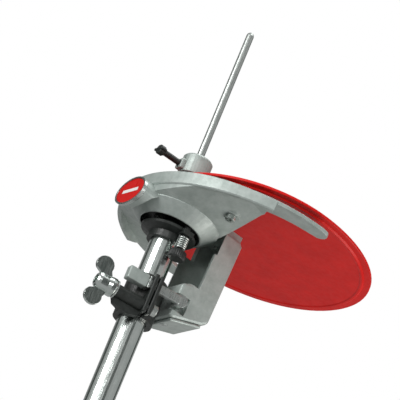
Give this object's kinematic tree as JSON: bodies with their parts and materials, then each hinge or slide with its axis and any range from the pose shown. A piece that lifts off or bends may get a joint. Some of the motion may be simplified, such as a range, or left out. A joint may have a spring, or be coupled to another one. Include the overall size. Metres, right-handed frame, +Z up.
{
  "type": "electronic hi-hat pad",
  "caption": "Round strike plate on a cast crescent frame, carried on a hi-hat stand tube with pull rod, clutch, spring plunger, sensor housing and tube clamp",
  "frame": {"origin": "on the stand tube's axis at its lower end", "axes": "+Z up the tube, +X from the tube towards the strike plate's middle, +Y to the left seen along +X"},
  "size_m": [0.2209, 0.2068, 0.591],
  "materials": {
    "chrome": "polished chrome plate",
    "black_plastic": "moulded, lightly textured",
    "black_cast": "black powder coat on zinc casting",
    "rubber": "matt rubber",
    "felt": "pressed felt",
    "bright_steel": "turned and zinc plated",
    "cast_alloy": "die cast, silver painted",
    "red_plate": "smooth gloss",
    "badge_red": "smooth gloss, plain",
    "circuit_green": "solder-masked board",
    "brass": "pickup disc, plain"
  },
  "bodies": {
    "stand": {"stand_tube": "chrome", "tube_foot_bush": "black_plastic", "tube_top_bush": "black_plastic", "seat_cup": "black_cast", "tilt_spring": "bright_steel", "clamp_fixed_jaw": "black_cast", "clamp_hinge_pin": "bright_steel", "clamp_bolt": "bright_steel", "stop_bar": "bright_steel", "stop_block": "cast_alloy", "block_collar": "bright_steel"},
    "rod": {"pull_rod": "bright_steel", "clutch_body": "cast_alloy", "clutch_bumper": "felt"},
    "thumb_screw": {"clutch_thumb_screw": "black_cast"},
    "plunger": {"sensor_plunger": "black_plastic"},
    "tilt_screw": {"tilt_screw": "black_plastic"},
    "swing_jaw": {"clamp_swing_jaw": "black_cast", "bolt_spacer": "black_cast", "bolt_washer": "bright_steel"},
    "wing_nut": {"wing_nut": "chrome"},
    "pad": {"plunger_guide": "black_plastic", "plate_spacer": "black_plastic", "connector_block": "black_plastic", "output_jack": "black_plastic", "seat_plate": "black_cast", "seat_washer": "rubber", "grommet_1": "rubber", "grommet_2": "rubber", "pickup_foam": "rubber", "seat_pin_front": "bright_steel", "seat_pin_rear": "bright_steel", "badge_bezel": "bright_steel", "plate_screw_1": "bright_steel", "plate_screw_2": "bright_steel", "plate_nut_1": "bright_steel", "plate_nut_2": "bright_steel", "plunger_spring": "bright_steel", "housing_screw_left": "bright_steel", "housing_screw_right": "bright_steel", "cover_screw": "bright_steel", "pad_frame": "cast_alloy", "sensor_housing": "cast_alloy", "housing_cover": "cast_alloy", "strike_plate": "red_plate", "badge_insert": "badge_red", "circuit_board": "circuit_green", "position_sensor": "circuit_green", "pickup_disc": "brass"}
  },
  "joints": [
    {"name": "pad_tilt", "type": "hinge", "parent": "stand", "child": "pad", "pos_m": [0, 0, 0.39], "axis": [0.9992, 0, -0.0401], "range_deg": [-1.2, 1.2]},
    {"name": "tilt_screw_turn", "type": "hinge", "parent": "stand", "child": "tilt_screw", "pos_m": [0.0036, -0.0196, 0.36], "axis": [0, 0, 1], "range_deg": [-180, 180]},
    {"name": "rod_slide", "type": "slide", "parent": "stand", "child": "rod", "axis": [0, 0, 1], "range_m": [-0.005, 0], "stiffness_N_per_m": 400, "springref_m": 0.01},
    {"name": "thumb_screw_turn", "type": "hinge", "parent": "rod", "child": "thumb_screw", "pos_m": [0, 0, 0.439], "axis": [-1, 0, 0], "range_deg": [0, 360]},
    {"name": "plunger_slide", "type": "slide", "parent": "pad", "child": "plunger", "axis": [0.0401, 0, 0.9992], "range_m": [-0.005, 0], "deforming": ["plunger_spring"]},
    {"name": "swing_jaw_open", "type": "hinge", "parent": "stand", "child": "swing_jaw", "pos_m": [0.00337, 0.01911, 0.324], "axis": [0, 0, -1], "range_deg": [0, 0.9]},
    {"name": "wing_nut_turn", "type": "hinge", "parent": "swing_jaw", "child": "wing_nut", "pos_m": [-0.00339, -0.0192, 0.3132], "axis": [-0.9848, 0.1736, 0], "range_deg": [0, 220]}
  ],
  "couplings": [
    {"joint": "tilt_screw_turn", "follows": "pad_tilt", "ratio": -144.5},
    {"joint": "plunger_slide", "follows": "rod_slide", "ratio": 1},
    {"joint": "swing_jaw_open", "follows": "wing_nut_turn", "ratio": 0.0040909}
  ]
}
